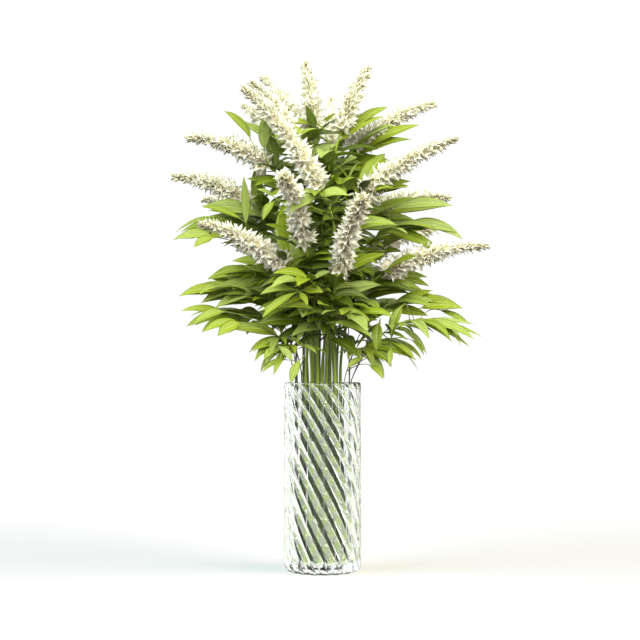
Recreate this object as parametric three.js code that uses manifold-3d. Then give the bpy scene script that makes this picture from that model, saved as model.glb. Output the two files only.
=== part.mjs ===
// A tall vase of white flower spikes: cut stems with lance-shaped leaves and dense spikes of bells, and thin
// leafy shoots that fill in round them, all standing in a clear glass cylinder with spiral flutes.
// Millimetres, +Z up. The origin is the centre of the vase's foot, and -Y is the bouquet's front.
import * as THREE from "three";
import { mergeVertices } from "three/addons/utils/BufferGeometryUtils.js";
import Module from "manifold-3d";

const wasm = await Module();
wasm.setup();

// ---- Driving dimensions ----

// Vase
const VASE_HEIGHT = 300;
const VASE_RADIUS = 61.5; // over the lobes
const GROOVE_DEPTH = 3.6;
const BORE_RADIUS = 54.5;
const FLOOR_THICKNESS = 16;
const FOOT_CURVE = [[10, 0], [3.2, 2.4], [0, 11]]; // inset and height along the foot's rounded edge
const RIM_CURVE = [[0.6, 3], [2.5, 0]]; // inset and depth along the rim's outer edge
const RIM_BEVEL = 3; // height of its inner edge
const LIP_INSET = 1.5; // the rim's flat top begins this far outside the bore
const BORE_FILLET = [6, 8]; // width and height, where the bore meets the floor
const FLUTES = 18;
const VASE_TWIST = 165; // degrees from rim to foot
const POINTS_PER_FLUTE = 3;
const WALL_STEPS = 8;

// Bunch: where the stems stand in the vase
const BUNCH_RADIUS = 40; // the thick stems stay inside this at the rim
const BUNCH_SPREAD = 80; // how fast the stems crowd towards that radius
const FOOT_SPREAD = 1.08; // the flower stems stand a little wider on the vase's floor
const SEAT_GAP = 0.3;

// Flower stems and spikes
const STEM_RADIUS = 2.7;
const STEM_SIDES = 4;
const STEM_STEPS = 6; // the first lies in the vase
const STEM_PULL = 0.35; // how long a stem keeps its direction at rim and neck, as a share of its span
const SPIKE_RADIUS = 15.5;
const SPIKE_BOW = 0.12; // how far a spike's middle stands above its chord, as a share of its length
const BELLS_ROUND = 6;
const BELL_RINGS = 6;
const FIRST_RING = 0.35; // of a ring's step above the neck
const BELL_LEAN = 0.35; // how far a bell's mouth points up the spike, as a share of the radius
const HOLLOW_SHARE = 0.55; // radius between the bells, as a share of the radius at their mouths
const NECK_SHARE = 0.72; // radius at the neck, as a share of the fullest
const NECK_LENGTH = 0.15; // share of the spike over which it swells to its fullest
const TIP_LOSS = 0.72; // share of its radius that the spike has lost at its tip
const TAPER_POWER = 2.2;

// Leafy shoots: a ring of thin stems outside the flower stems
const SHOOT_RADIUS = 1.3;
const SHOOT_SIDES = 4;
const SHOOT_FOOT_RING = 45;
const SHOOT_RING = 43.5; // at the rim
const LOW_SHOOT_RING = 50;
const LOW_SHOOT = 400; // a shoot that ends below this height leans out over the rim and hangs
const LOW_LEAN = 0.5; // how far a low shoot leans out at the rim, as a share of its rise
const FIRST_SHOOT_ANGLE = -68; // degrees
const SHOOT_START_PULL = 0.5; // how long a shoot keeps its direction at the rim, as a share of its span
const SHOOT_END_PULL = 0.4; // and at its end
const SHOOT_END_SLOPE = 12; // most degrees above level
const END_SLOPE_FALL = 0.6; // degrees that the end falls for each millimetre that it lies lower

// Leaves
const LEAF_WIDTH_SHARE = 0.27; // width over length
const LEAF_THICKNESS = 0.8; // from the fold down to the keel
const LEAF_FOLD = 0.2; // rise of the edges over the fold, as a share of the half-width
const LEAF_STATIONS = [0, 0.27, 0.62, 1];
const LEAF_SWELL = 0.8; // power of the outline near the stalk
const LEAF_TAPER = 1.1; // power of the outline near the point
const PETIOLE_SHARE = 0.07;
const PETIOLE_HALF_WIDTH = 0.9;
const LIGHT_TILT = 62; // most degrees that a leaf out to the side tilts its face to the front
const TOP_LEAF_TILT = 0.8; // share of that tilt
const NUDGES = [0, 18, -18, 36, -36, 56, -56, 78, -78, 104, -104]; // degrees a leaf may turn to find room
const LEAF_CLEARANCE = 0.45;
const CLEAR_FROM = 0.22; // a leaf may cross its own stem up to this share of its length

// Leaves of the flower stems; a pair of numbers is a range
const LEAVES_PER_FLOWER_STEM = 8;
const LEAFY_PART = [0.45, 0.95]; // shares of the stem above the rim
const LEAF_SPIRAL = 137.5; // degrees from one leaf to the next
const FLOWER_LEAF_LENGTH = [78, 104];
const FLOWER_LEAF_LIFT = [20, 48]; // degrees, from the lowest leaf to the highest
const FLOWER_LEAF_DROOP = [38, 68]; // degrees from stalk to point
const TOP_LEAF_DROOP = 30;

// Leaves of the shoots
const LEAF_PAIRS = 5;
const LEAF_PAIRS_LOW = 4;
const FIRST_PAIR = 0.95; // share of the shoot above the rim
const PAIR_STEP = 0.11;
const PAIR_OFFSET = 0.015; // each way, because the two leaves of a pair don't stand quite level
const PAIR_HALF_ANGLE = [20, 36]; // degrees from the shoot's own heading, at the first pair
const PAIR_OPENING = 15; // degrees that each pair opens wider than the one above it
const SHOOT_LEAF_LENGTH = [64, 88];
const SHOOT_LEAF_LIFT = 24;
const PAIR_LIFT = 6; // degrees that each pair lifts above the one before it
const SHOOT_LEAF_DROOP = [36, 62];
const HANG_LIFT = -18; // what hanging adds to the lift
const HANG_DROOP = 8; // and to the droop
const FULL_REACH = 135; // a low shoot that reaches out less than this has leaves smaller to match
const END_LEAF_LENGTH = 88;
const END_LEAF_DROOP = 38;
const END_LEAF_INSET = 2;

// Each spike: its tip, its neck, where the bells begin, and its top leaf's heading, lift and length
const SPIKES = [
  { tip: [-28, 10, 813], neck: [-12, 5, 708], leaf: [-110, 62, 72] },
  { tip: [72, -20, 801], neck: [30, -15, 702], leaf: [-10, 44, 86] },
  { tip: [-122, -120, 751], neck: [-5, -95, 604], leaf: [-60, 40, 84] },
  { tip: [-113, -30, 776], neck: [-37, -25, 677], leaf: [-130, 40, 80] },
  { tip: [-99, 60, 800], neck: [-32, 40, 702], leaf: [-60, 60, 76] },
  { tip: [-134, 120, 763], neck: [-60, 75, 682], leaf: [172, 46, 114] },
  { tip: [14, 150, 780], neck: [19, 85, 683], leaf: [-60, 50, 88] },
  { tip: [183, 40, 752], neck: [51, 20, 675], leaf: [-14, 37, 114] },
  { tip: [209, -70, 680], neck: [66, -60, 598], leaf: [215, 64, 76] },
  { tip: [212, 90, 603], neck: [74, 50, 571], leaf: [-6, 32, 112] },
  { tip: [60, -240, 571], neck: [24, -120, 469], leaf: [-20, 40, 86] },
  { tip: [-57, -235, 603], neck: [-28, -115, 520], leaf: [-140, 36, 84] },
  { tip: [-215, -20, 688], neck: [-88, -20, 645], leaf: [-110, 74, 94] },
  { tip: [-246, 50, 635], neck: [-118, 35, 592], leaf: [-90, 78, 74] },
  { tip: [-204, 160, 608], neck: [-100, 85, 564], leaf: [190, 30, 104] },
  { tip: [-187, -130, 543], neck: [-65, -95, 484], leaf: [-165, 24, 92] },
  { tip: [-150, 220, 530], neck: [-78, 130, 499], leaf: [150, 40, 92] },
  { tip: [185, 160, 553], neck: [89, 85, 518], leaf: [20, 40, 96] },
  { tip: [261, -30, 516], neck: [99, -25, 474], leaf: [-50, 34, 90] },
  { tip: [70, 240, 640], neck: [35, 130, 575], leaf: [50, 46, 96] },
];

// Where each leafy shoot ends, in their order round the rim
const SHOOT_ENDS = [
  [40, -118, 404],
  [62, -52, 352],
  [160, -50, 398],
  [128, -12, 550],
  [142, 12, 430],
  [106, 48, 366],
  [100, 80, 472],
  [90, 150, 430],
  [10, 185, 480],
  [-60, 150, 404],
  [-112, 110, 460],
  [-148, 52, 410],
  [-160, 20, 541],
  [-100, -18, 474],
  [-144, -42, 446],
  [-70, -62, 370],
  [-52, -80, 356],
  [-22, -130, 456],
  [-7, -120, 588],
];

const GOLDEN_SHARE = 0.6180339887;
const UP = new THREE.Vector3(0, 0, 1);
const degrees = THREE.MathUtils.degToRad;
const scatter = (n) => THREE.MathUtils.euclideanModulo(n * GOLDEN_SHARE, 1); // even draws from 0 to 1
const between = ([low, high], share) => low + (high - low) * share;
const heading = (angle) => new THREE.Vector3(Math.cos(angle), Math.sin(angle), 0);

// ---- Solids and meshes ----

// A closed geometry as a solid, with its faces turned outwards.
function solidOf(geometry) {
  const bare = geometry.clone();
  bare.deleteAttribute("normal");
  bare.deleteAttribute("uv");
  const merged = mergeVertices(bare, 1e-4);
  const faces = [];
  for (let i = 0; i < merged.index.count; i += 3) {
    const [a, b, c] = merged.index.array.slice(i, i + 3);
    if (a !== b && b !== c && c !== a) faces.push(a, b, c);
  }
  const build = (triVerts) =>
    new wasm.Manifold(
      new wasm.Mesh({
        numProp: 3,
        vertProperties: merged.attributes.position.array,
        triVerts: new Uint32Array(triVerts),
      }),
    );
  const made = build(faces);
  return made.volume() > 0 ? made : build(faces.reverse());
}

function meshOf(name, solid, material) {
  const made = solid.getMesh();
  const geometry = new THREE.BufferGeometry()
    .setAttribute("position", new THREE.BufferAttribute(made.vertProperties, 3))
    .setIndex(new THREE.BufferAttribute(made.triVerts, 1));
  geometry.computeVertexNormals();
  const mesh = new THREE.Mesh(geometry, material);
  mesh.name = name;
  return mesh;
}

function geometryOf(points, faces) {
  return new THREE.BufferGeometry()
    .setAttribute("position", new THREE.Float32BufferAttribute(points.flatMap((p) => p.toArray()), 3))
    .setIndex(faces.flat());
}

// ---- Vase ----

// The wall is a turned profile. Its outside is pressed into lobes with sharp grooves between them, and every
// level is turned a little further than the one above it, so the flutes wind down to the right.
function vaseSolid() {
  const [filletWidth, filletHeight] = BORE_FILLET;
  const wallFoot = FOOT_CURVE.at(-1)[1];
  const outside = [
    ...FOOT_CURVE.map(([inset, height]) => [VASE_RADIUS - inset, height]),
    ...Array.from({ length: WALL_STEPS - 1 }, (_, i) => [
      VASE_RADIUS,
      wallFoot + ((VASE_HEIGHT - wallFoot) * (i + 1)) / WALL_STEPS,
    ]),
    ...RIM_CURVE.map(([inset, depth]) => [VASE_RADIUS - inset, VASE_HEIGHT - depth]),
  ];
  const inside = [
    [BORE_RADIUS + LIP_INSET, VASE_HEIGHT],
    [BORE_RADIUS, VASE_HEIGHT - RIM_BEVEL],
    [BORE_RADIUS, FLOOR_THICKNESS + filletHeight],
    [BORE_RADIUS - filletWidth, FLOOR_THICKNESS],
    [0, FLOOR_THICKNESS],
  ];
  const profile = [[0, 0], ...outside, ...inside];
  const turned = new THREE.LatheGeometry(
    profile.map(([r, z]) => new THREE.Vector2(r, z)),
    FLUTES * POINTS_PER_FLUTE,
  ).rotateX(Math.PI / 2);
  const position = turned.attributes.position;
  for (let i = 0; i < position.count; i++) {
    const row = i % profile.length;
    if (row < 1 || row > outside.length) continue;
    const z = position.getZ(i);
    const angle = Math.atan2(position.getY(i), position.getX(i));
    const groove = GROOVE_DEPTH * (1 - Math.abs(Math.sin((FLUTES * angle) / 2)));
    const radius = Math.hypot(position.getX(i), position.getY(i)) - groove;
    const turn = angle + degrees(VASE_TWIST) * (1 - z / VASE_HEIGHT);
    position.setXYZ(i, radius * Math.cos(turn), radius * Math.sin(turn), z);
  }
  return solidOf(turned);
}

// ---- Stems ----

// A stem stands on the vase's floor, runs straight to the rim and then follows one Bezier curve in chords.
function pointOnStem(rise, share) {
  const chords = STEM_STEPS - 1;
  const low = Math.min(chords - 1, Math.floor(share * chords));
  return rise.getPoint(low / chords).lerp(rise.getPoint((low + 1) / chords), share * chords - low);
}

class StemPath extends THREE.Curve {
  constructor(foot, rise) {
    super();
    this.foot = foot;
    this.rise = rise;
  }
  getPoint(t) {
    const inVase = 1 / STEM_STEPS;
    return t < inVase
      ? this.foot.clone().lerp(this.rise.v0, t / inVase)
      : this.rise.getPoint((t - inVase) / (1 - inVase));
  }
  getUtoTmapping(u) {
    return u;
  }
}

function stemSolid(rise, footSpread, radius, sides) {
  const foot = new THREE.Vector3(rise.v0.x * footSpread, rise.v0.y * footSpread, FLOOR_THICKNESS + SEAT_GAP);
  const ring = Array.from({ length: sides }, (_, k) => {
    const angle = (2 * Math.PI * k) / sides;
    return new THREE.Vector2(radius * Math.cos(angle), radius * Math.sin(angle));
  });
  return solidOf(
    new THREE.ExtrudeGeometry(new THREE.Shape(ring), {
      steps: STEM_STEPS,
      bevelEnabled: false,
      extrudePath: new StemPath(foot, rise),
    }),
  );
}

// The axis of a spike: a quadratic Bezier curve in an upright plane, steep at the neck, flatter at the tip.
function spikeAxis({ tip, neck }) {
  const start = new THREE.Vector3(...neck);
  const end = new THREE.Vector3(...tip);
  const middle = start.clone().lerp(end, 0.5);
  middle.z += SPIKE_BOW * start.distanceTo(end);
  return new THREE.QuadraticBezierCurve3(start, middle, end);
}

// A flower stem rises upright from the rim and meets its spike in the spike's own direction.
function flowerRise(axis) {
  const neck = axis.v0;
  const reach = Math.hypot(neck.x, neck.y);
  const crowded = (BUNCH_RADIUS * (1 - Math.exp(-reach / BUNCH_SPREAD))) / reach;
  const rim = new THREE.Vector3(neck.x * crowded, neck.y * crowded, VASE_HEIGHT);
  const pull = STEM_PULL * rim.distanceTo(neck);
  const along = axis.v1.clone().sub(neck).normalize();
  const top = neck.clone().addScaledVector(along, -SEAT_GAP);
  return new THREE.CubicBezierCurve3(
    rim,
    rim.clone().addScaledVector(UP, pull),
    top.clone().addScaledVector(along, -pull),
    top,
  );
}

// ---- Spikes of bells ----

// Rings of points round the axis, each ring half a step on from the last, so that every bell is a point with
// four hollows round it.
function spikeSolid(axis) {
  const round = 2 * BELLS_ROUND;
  const chord = axis.v2.clone().sub(axis.v0);
  const side = heading(Math.atan2(chord.y, chord.x) + Math.PI / 2);
  const points = [axis.v0.clone()];
  for (let ring = 0; ring < BELL_RINGS; ring++) {
    const along = (ring + FIRST_RING) / BELL_RINGS;
    const radius = SPIKE_RADIUS * spikeSwell(along);
    const centre = axis.getPoint(along);
    const tangent = axis.getTangent(along);
    const over = tangent.clone().cross(side);
    for (let k = 0; k < round; k++) {
      const isBell = (ring + k) % 2 === 0;
      const angle = (Math.PI * k) / BELLS_ROUND;
      const out = radius * (isBell ? 1 : HOLLOW_SHARE);
      points.push(
        centre
          .clone()
          .addScaledVector(side, out * Math.cos(angle))
          .addScaledVector(over, out * Math.sin(angle))
          .addScaledVector(tangent, isBell ? BELL_LEAN * radius : 0),
      );
    }
  }
  points.push(axis.v2.clone());
  const faces = [];
  for (let k = 0; k < round; k++) {
    const next = (k + 1) % round;
    faces.push([0, 1 + next, 1 + k]);
    for (let ring = 0; ring < BELL_RINGS - 1; ring++) {
      const low = 1 + ring * round;
      const high = low + round;
      const [a, b, c, d] = [low + k, low + next, high + next, high + k];
      if ((ring + k) % 2 === 0) faces.push([a, b, d], [b, c, d]);
      else faces.push([a, b, c], [a, c, d]);
    }
    const last = 1 + (BELL_RINGS - 1) * round;
    faces.push([last + k, last + next, points.length - 1]);
  }
  return solidOf(geometryOf(points, faces));
}

// Radius of a spike as a share of its fullest: it swells just above the neck and then tapers to the tip.
function spikeSwell(along) {
  const swollen = NECK_SHARE + (1 - NECK_SHARE) * Math.min(1, along / NECK_LENGTH);
  return swollen * (1 - TIP_LOSS * along ** TAPER_POWER);
}

// ---- Leaves ----

// Half-width of a leaf, as a share of its widest: a short petiole, a full belly and a drawn-out point.
function leafOutline(s) {
  const shape = (u) => u ** LEAF_SWELL * (1 - u) ** LEAF_TAPER;
  const widest = LEAF_SWELL / (LEAF_SWELL + LEAF_TAPER);
  return shape(Math.max(0, (s - PETIOLE_SHARE) / (1 - PETIOLE_SHARE))) / shape(widest);
}

// The midrib leaves the stem at an angle and sags at a steady rate, so it is an arc in an upright plane. The
// blade's section is a shallow wedge: two edges above and a keel below. A leaf that points to the side tilts
// its face to the front. extra fattens the leaf all round, and from says where along it the solid begins.
function leafSolid({ root, angle, length, lift, droop, tilt }, extra = 0, from = 0) {
  const out = heading(angle);
  const roll = degrees(LIGHT_TILT) * tilt * Math.cos(angle);
  const across = heading(angle + Math.PI / 2);
  const points = [];
  const stations = [from, ...LEAF_STATIONS.slice(1)];
  stations.forEach((s) => {
    const slope = lift - droop * s;
    const spot = root
      .clone()
      .addScaledVector(out, (length * (Math.sin(lift) - Math.sin(slope))) / droop)
      .addScaledVector(UP, (length * (Math.cos(slope) - Math.cos(lift))) / droop);
    if (s === 1) {
      points.push(spot);
      return;
    }
    const flat = out.clone().multiplyScalar(-Math.sin(slope)).addScaledVector(UP, Math.cos(slope));
    const side = across.clone().multiplyScalar(Math.cos(roll)).addScaledVector(flat, Math.sin(roll));
    const normal = flat.clone().multiplyScalar(Math.cos(roll)).addScaledVector(across, -Math.sin(roll));
    const half = Math.max(PETIOLE_HALF_WIDTH, 0.5 * length * LEAF_WIDTH_SHARE * leafOutline(s));
    const edge = (way) =>
      spot
        .clone()
        .addScaledVector(side, way * (half + extra))
        .addScaledVector(normal, LEAF_FOLD * half + extra);
    points.push(edge(1), edge(-1), spot.clone().addScaledVector(normal, -LEAF_THICKNESS - extra));
  });
  const tip = points.length - 1;
  const faces = [[0, 1, 2]];
  for (let a = 0; a < tip; a += 3) {
    for (let k = 0; k < 3; k++) {
      const next = (k + 1) % 3;
      if (a + 3 === tip) faces.push([a + k, tip, a + next]);
      else faces.push([a + k, a + 3 + k, a + next], [a + next, a + 3 + k, a + 3 + next]);
    }
  }
  return solidOf(geometryOf(points, faces));
}

// The leaves of a flower stem stand singly on a spiral, from its neck down. rank counts them from the top.
function flowerStemLeaves(rise, owner, seed, [topAngle, topLift, topLength]) {
  return Array.from({ length: LEAVES_PER_FLOWER_STEM }, (_, rank) => {
    const up = 1 - rank / (LEAVES_PER_FLOWER_STEM - 1);
    const isTop = rank === 0;
    return {
      owner,
      rank,
      root: pointOnStem(rise, between(LEAFY_PART, up)),
      angle: degrees(topAngle + LEAF_SPIRAL * rank),
      length: isTop ? topLength : between(FLOWER_LEAF_LENGTH, scatter(seed * 3 + rank * 5)),
      lift: degrees(isTop ? topLift : between(FLOWER_LEAF_LIFT, up)),
      droop: degrees(isTop ? TOP_LEAF_DROOP : between(FLOWER_LEAF_DROOP, scatter(seed * 7 + rank))),
      tilt: isTop ? TOP_LEAF_TILT : scatter(seed + rank * 2),
    };
  });
}

const isLow = (end) => end.z < LOW_SHOOT;

// A shoot starts from its place on the rim's ring. A low one leans out over the rim and falls at its end, the
// more so the lower it lies. A high one starts upright and still rises at its end.
function shootRise(shootEnd, k) {
  const end = new THREE.Vector3(...shootEnd);
  const low = isLow(end);
  const out = heading(degrees(FIRST_SHOOT_ANGLE + (360 * k) / SHOOT_ENDS.length));
  const rim = out.clone().multiplyScalar(low ? LOW_SHOOT_RING : SHOOT_RING).setZ(VASE_HEIGHT);
  const start = low ? out.clone().multiplyScalar(LOW_LEAN).add(UP).normalize() : UP;
  const slope = degrees(Math.min(SHOOT_END_SLOPE, END_SLOPE_FALL * (end.z - LOW_SHOOT)));
  const along = heading(Math.atan2(end.y, end.x)).multiplyScalar(Math.cos(slope)).setZ(Math.sin(slope));
  const span = rim.distanceTo(end);
  return new THREE.CubicBezierCurve3(
    rim,
    rim.clone().addScaledVector(start, SHOOT_START_PULL * span),
    end.clone().addScaledVector(along, -SHOOT_END_PULL * span),
    end,
  );
}

// The leaves of a shoot stand in pairs that open wider down the shoot, with one more at the end.
function shootLeaves(rise, owner, seed) {
  const outwards = Math.atan2(rise.v3.y, rise.v3.x);
  const hang = isLow(rise.v3) ? 1 : 0;
  const size = hang ? Math.min(1, Math.hypot(rise.v3.x, rise.v3.y) / FULL_REACH) : 1;
  const end = rise.getTangent(1);
  const leaves = [
    {
      owner,
      rank: 0,
      root: rise.v3.clone().addScaledVector(end, -END_LEAF_INSET),
      angle: outwards,
      length: END_LEAF_LENGTH * size,
      lift: Math.asin(end.z),
      droop: degrees(END_LEAF_DROOP),
      tilt: TOP_LEAF_TILT,
    },
  ];
  for (let pair = 0; pair < (hang ? LEAF_PAIRS_LOW : LEAF_PAIRS); pair++) {
    for (const way of [1, -1]) {
      const draw = scatter(seed * 5 + pair * 2 + way);
      leaves.push({
        owner,
        rank: 1 + pair,
        root: pointOnStem(rise, FIRST_PAIR - PAIR_STEP * pair + PAIR_OFFSET * way),
        angle: outwards + way * degrees(between(PAIR_HALF_ANGLE, draw) + PAIR_OPENING * pair),
        length: between(SHOOT_LEAF_LENGTH, draw) * size,
        lift: degrees(SHOOT_LEAF_LIFT + PAIR_LIFT * pair + HANG_LIFT * hang),
        droop: degrees(between(SHOOT_LEAF_DROOP, draw) + HANG_DROOP * hang),
        tilt: scatter(seed + pair * 3 + way),
      });
    }
  }
  return leaves;
}

// ---- Putting the bunch together ----

const placed = []; // every solid so far, with its node's name and its box

function place(owner, solid) {
  placed.push({ owner, solid, box: solid.boundingBox() });
}

function meets(probe, isTested) {
  const { min, max } = probe.boundingBox();
  return placed.some(
    ({ owner, solid, box }) =>
      isTested(owner) &&
      [0, 1, 2].every((axis) => min[axis] <= box.max[axis] && max[axis] >= box.min[axis]) &&
      !probe.intersect(solid).isEmpty(),
  );
}

// Turns a leaf to the first side where it crosses nothing, and leaves it out if there is none.
function grow(leaf) {
  const turned = NUDGES.map((nudge) => ({ ...leaf, angle: leaf.angle + degrees(nudge) }));
  const fits = turned.find(
    (tried) =>
      !meets(leafSolid(tried, LEAF_CLEARANCE), (other) => other !== leaf.owner) &&
      !meets(leafSolid(tried, 0, CLEAR_FROM), (other) => other === leaf.owner),
  );
  if (fits) place(leaf.owner, leafSolid(fits));
}

const glass = new THREE.MeshStandardMaterial({ color: 0xf4f8f6, roughness: 0.03, opacity: 0.35 });
glass.transparent = true;
const green = new THREE.MeshStandardMaterial({ color: 0x86a526, roughness: 0.5 });
const cream = new THREE.MeshStandardMaterial({ color: 0xeeead8, roughness: 0.7 });

const label = (k) => String(k + 1).padStart(2, "0");
const spikeAxes = SPIKES.map(spikeAxis);
const flowerRises = spikeAxes.map(flowerRise);
const shootRises = SHOOT_ENDS.map(shootRise);
const stemName = (k) => "spike_" + label(k) + "_stem";
const shootName = (k) => "shoot_" + label(k);

place("vase", vaseSolid());
spikeAxes.forEach((axis, k) => place("spike_" + label(k) + "_bells", spikeSolid(axis)));
flowerRises.forEach((rise, k) => place(stemName(k), stemSolid(rise, FOOT_SPREAD, STEM_RADIUS, STEM_SIDES)));
shootRises.forEach((rise, k) => {
  const footSpread = SHOOT_FOOT_RING / Math.hypot(rise.v0.x, rise.v0.y);
  place(shootName(k), stemSolid(rise, footSpread, SHOOT_RADIUS, SHOOT_SIDES));
});
[
  ...flowerRises.flatMap((rise, k) => flowerStemLeaves(rise, stemName(k), k, SPIKES[k].leaf)),
  ...shootRises.flatMap((rise, k) => shootLeaves(rise, shootName(k), k)),
]
  .sort((a, b) => a.rank - b.rank)
  .forEach(grow);

const bunch = new THREE.Group();
for (const name of new Set(placed.map(({ owner }) => owner))) {
  const solids = placed.filter(({ owner }) => owner === name).map(({ solid }) => solid);
  const material = name === "vase" ? glass : name.endsWith("_bells") ? cream : green;
  bunch.add(meshOf(name, wasm.Manifold.union(solids), material));
}

export default bunch;
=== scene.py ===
import bpy
import numpy as np
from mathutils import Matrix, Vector


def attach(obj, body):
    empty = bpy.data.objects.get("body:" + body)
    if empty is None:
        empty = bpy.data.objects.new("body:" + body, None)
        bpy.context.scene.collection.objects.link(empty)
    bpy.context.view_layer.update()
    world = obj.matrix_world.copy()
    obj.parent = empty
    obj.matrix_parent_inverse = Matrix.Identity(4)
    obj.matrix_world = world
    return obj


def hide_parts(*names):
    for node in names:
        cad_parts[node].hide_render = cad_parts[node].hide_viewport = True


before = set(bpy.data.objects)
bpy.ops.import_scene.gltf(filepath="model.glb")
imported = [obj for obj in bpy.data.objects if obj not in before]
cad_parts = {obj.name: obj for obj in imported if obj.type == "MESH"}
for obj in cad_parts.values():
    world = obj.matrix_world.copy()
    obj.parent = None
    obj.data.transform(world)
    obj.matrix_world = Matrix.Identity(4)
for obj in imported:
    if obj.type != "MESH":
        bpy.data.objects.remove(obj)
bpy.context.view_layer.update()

# ---- The studio ----
# A white floor that runs out to a white surround. Broad suns light the bouquet from above, in front, behind
# and both sides, and two tinted ones light the floor alone. Only mirrored rays see the bright side panels.

EYE = Vector((0.0, -2.4, 0.352))
LOOKED_AT = Vector((-0.004, 0.0, 0.400))
SENSOR_WIDTH = 36.0
LENS = 84.375  # shows 1.6 mm of the vase on each of 640 pixels
SIGHT_LIMIT = 200.0
FLOOR_HALF = 60.0
FLOOR_COLOUR = (0.48, 0.48, 0.48)
FLOOR_GLOW = (0.550, 0.622, 0.490)
FLOOR_IN_REFLECTIONS = (0.30, 0.30, 0.30)
BACKDROP_STRENGTH = 1.05
DAYLIGHT_STRENGTH = 0.17
PANELS = [(-150, -96), (78, 140)]  # degrees to the right of the camera
PANEL_EDGE = np.radians(2)
PANEL_TOP = (0.5, 0.6)  # where a panel fades out, as the sine of the angle above level
PANEL_STRENGTH = 5.0
DARK_STRENGTH = 0.03
HALF_STEP = 0.5  # depths are whole numbers, so this divides no bounce from one


def set_socket(tree, socket, value):
    """Links the socket to another one or to a node's first output, or gives it a plain value or colour."""
    if isinstance(value, bpy.types.Node):
        value = value.outputs[0]
    if isinstance(value, bpy.types.NodeSocket):
        tree.links.new(value, socket)
    elif socket.type == "RGBA":
        socket.default_value = (*value, 1)
    else:
        socket.default_value = value


def add_node(tree, kind, inputs=(), **settings):
    """A node of this kind with its settings, and with its inputs linked or set."""
    made = tree.nodes.new(kind)
    for key, value in settings.items():
        setattr(made, key, value)
    for key, value in dict(inputs).items():
        set_socket(tree, made.inputs[key], value)
    return made


def mixed(tree, share, low, high):
    """The colour that lies this share of the way from low to high."""
    return add_node(tree, "ShaderNodeMix", {0: share, 6: low, 7: high}, data_type="RGBA").outputs[2]


def blended(tree, share, low, high):
    """The shader that lies this share of the way from low to high."""
    return add_node(tree, "ShaderNodeMixShader", {0: share, 1: low, 2: high})


def ranged(tree, value, start, end, low=0.0, high=1.0):
    """low up to start, high from end on, and a straight line between them."""
    inputs = {"Value": value, "From Min": start, "From Max": end, "To Min": low, "To Max": high}
    return add_node(tree, "ShaderNodeMapRange", inputs)


def computed(tree, operation, first, second=0.0):
    """One step of arithmetic on values."""
    return add_node(tree, "ShaderNodeMath", {0: first, 1: second}, operation=operation)


def product(tree, value, *factors):
    """The value times each of the factors."""
    for factor in factors:
        value = computed(tree, "MULTIPLY", value, factor)
    return value


def straight_view(tree):
    """1 where the eye sees straight or through glass, and 0 for light that a dull surface gathers."""
    path = add_node(tree, "ShaderNodeLightPath").outputs
    unspread = computed(tree, "LESS_THAN", path["Diffuse Depth"], HALF_STEP)
    through_glass = product(tree, path["Is Transmission Ray"], unspread)
    return computed(tree, "MAXIMUM", path["Is Camera Ray"], through_glass)


def new_finish(name):
    """An empty material, its nodes and the socket of its surface."""
    finish = bpy.data.materials.new(name)
    finish.use_nodes = True
    finish.node_tree.nodes.clear()
    output = add_node(finish.node_tree, "ShaderNodeOutputMaterial")
    return finish, finish.node_tree, output.inputs["Surface"]


scene = bpy.context.scene
camera = bpy.data.objects.new("camera", bpy.data.cameras.new("camera"))
camera.data.sensor_width = SENSOR_WIDTH
camera.data.lens = LENS
camera.data.clip_end = SIGHT_LIMIT
camera.location = EYE
camera.rotation_euler = (LOOKED_AT - EYE).to_track_quat("-Z", "Y").to_euler()
scene.collection.objects.link(camera)
scene.camera = camera
scene.view_settings.view_transform = "Standard"

floor_mesh = bpy.data.meshes.new("floor")
corners = [(x * FLOOR_HALF, y * FLOOR_HALF, 0) for x, y in ((-1, -1), (1, -1), (1, 1), (-1, 1))]
floor_mesh.from_pydata(corners, [], [(0, 1, 2, 3)])
floor = bpy.data.objects.new("floor", floor_mesh)
scene.collection.objects.link(floor)
floor_white, tree, surface = new_finish("floor_white")
paper = add_node(tree, "ShaderNodeBsdfDiffuse", {"Color": FLOOR_COLOUR})
lift = add_node(tree, "ShaderNodeEmission", {"Color": FLOOR_GLOW, "Strength": 1.0})
both = add_node(tree, "ShaderNodeAddShader", {0: paper, 1: lift})
dim_paper = add_node(tree, "ShaderNodeBsdfDiffuse", {"Color": FLOOR_IN_REFLECTIONS})
set_socket(tree, surface, blended(tree, straight_view(tree), dim_paper, both))
floor_mesh.materials.append(floor_white)
floor.visible_glossy = False

surround = bpy.data.worlds.new("surround")
surround.use_nodes = True
scene.world = surround
tree = surround.node_tree
tree.nodes.clear()
backdrop = add_node(tree, "ShaderNodeBackground", {"Color": (1, 1, 1), "Strength": BACKDROP_STRENGTH})
daylight = add_node(tree, "ShaderNodeBackground", {"Color": (0.98, 0.99, 1), "Strength": DAYLIGHT_STRENGTH})
direction = tree.nodes.new("ShaderNodeTexCoord").outputs["Generated"]
x, y, z = add_node(tree, "ShaderNodeSeparateXYZ", {0: direction}).outputs
bearing = computed(tree, "ARCTAN2", x, product(tree, y, -1.0))
in_panel = 0.0
for start, end in np.radians(PANELS):
    left_edge = ranged(tree, bearing, start, start + PANEL_EDGE)
    right_edge = ranged(tree, bearing, end, end - PANEL_EDGE)
    in_panel = computed(tree, "MAXIMUM", in_panel, product(tree, left_edge, right_edge))
low_enough = ranged(tree, computed(tree, "ABSOLUTE", z), *PANEL_TOP, 1.0, 0.0)
panel_light = computed(tree, "ADD", product(tree, in_panel, low_enough, PANEL_STRENGTH), DARK_STRENGTH)
panels = add_node(tree, "ShaderNodeBackground", {"Strength": panel_light})
path = add_node(tree, "ShaderNodeLightPath").outputs
reflected = computed(tree, "GREATER_THAN", path["Glossy Depth"], HALF_STEP)
mirrored = product(tree, reflected, computed(tree, "LESS_THAN", path["Diffuse Depth"], HALF_STEP))
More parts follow.
